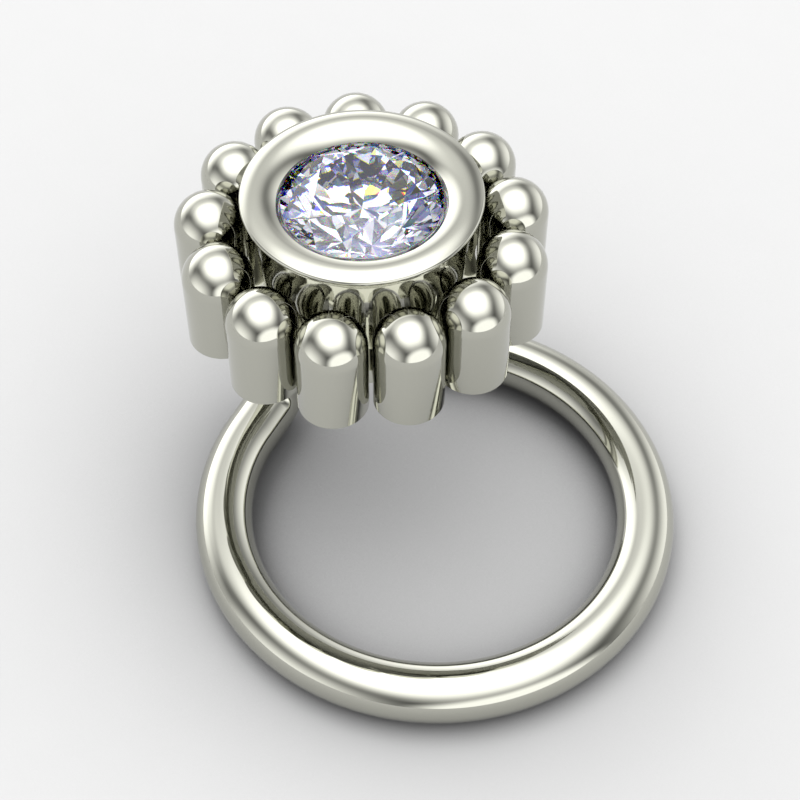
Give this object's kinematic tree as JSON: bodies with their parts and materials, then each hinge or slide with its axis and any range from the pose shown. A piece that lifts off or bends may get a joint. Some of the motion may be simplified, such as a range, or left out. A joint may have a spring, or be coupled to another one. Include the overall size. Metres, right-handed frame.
{
  "type": "nose pin with flower head and bezel-set stone",
  "caption": "Polished metal nose pin: a post bent at its foot into a flat round hoop, and on top a flower head of domed petals round a rimmed cup with a brilliant-cut stone.",
  "frame": {"origin": "centre of the hoop, at mid-thickness of its wire", "axes": "+Z along the axis of the hoop, towards the side that the post and the head stand on; +Y from the hoop's axis towards the free end of its wire and the foot of the post, which lie on either side of it; +X completes the right-handed frame"},
  "size_m": [0.0084, 0.0086, 0.0073],
  "materials": {
    "metal": "mirror-polished white gold, faintly warm",
    "stone": "clear, brilliant-cut, polished facets"
  },
  "bodies": {
    "root": {"pin_wire": "metal", "bezel_cup": "metal", "stone": "stone", "petal_01": "metal", "petal_02": "metal", "petal_03": "metal", "petal_04": "metal", "petal_05": "metal", "petal_06": "metal", "petal_07": "metal", "petal_08": "metal", "petal_09": "metal", "petal_10": "metal", "petal_11": "metal", "petal_12": "metal", "petal_13": "metal"}
  },
  "joints": []
}
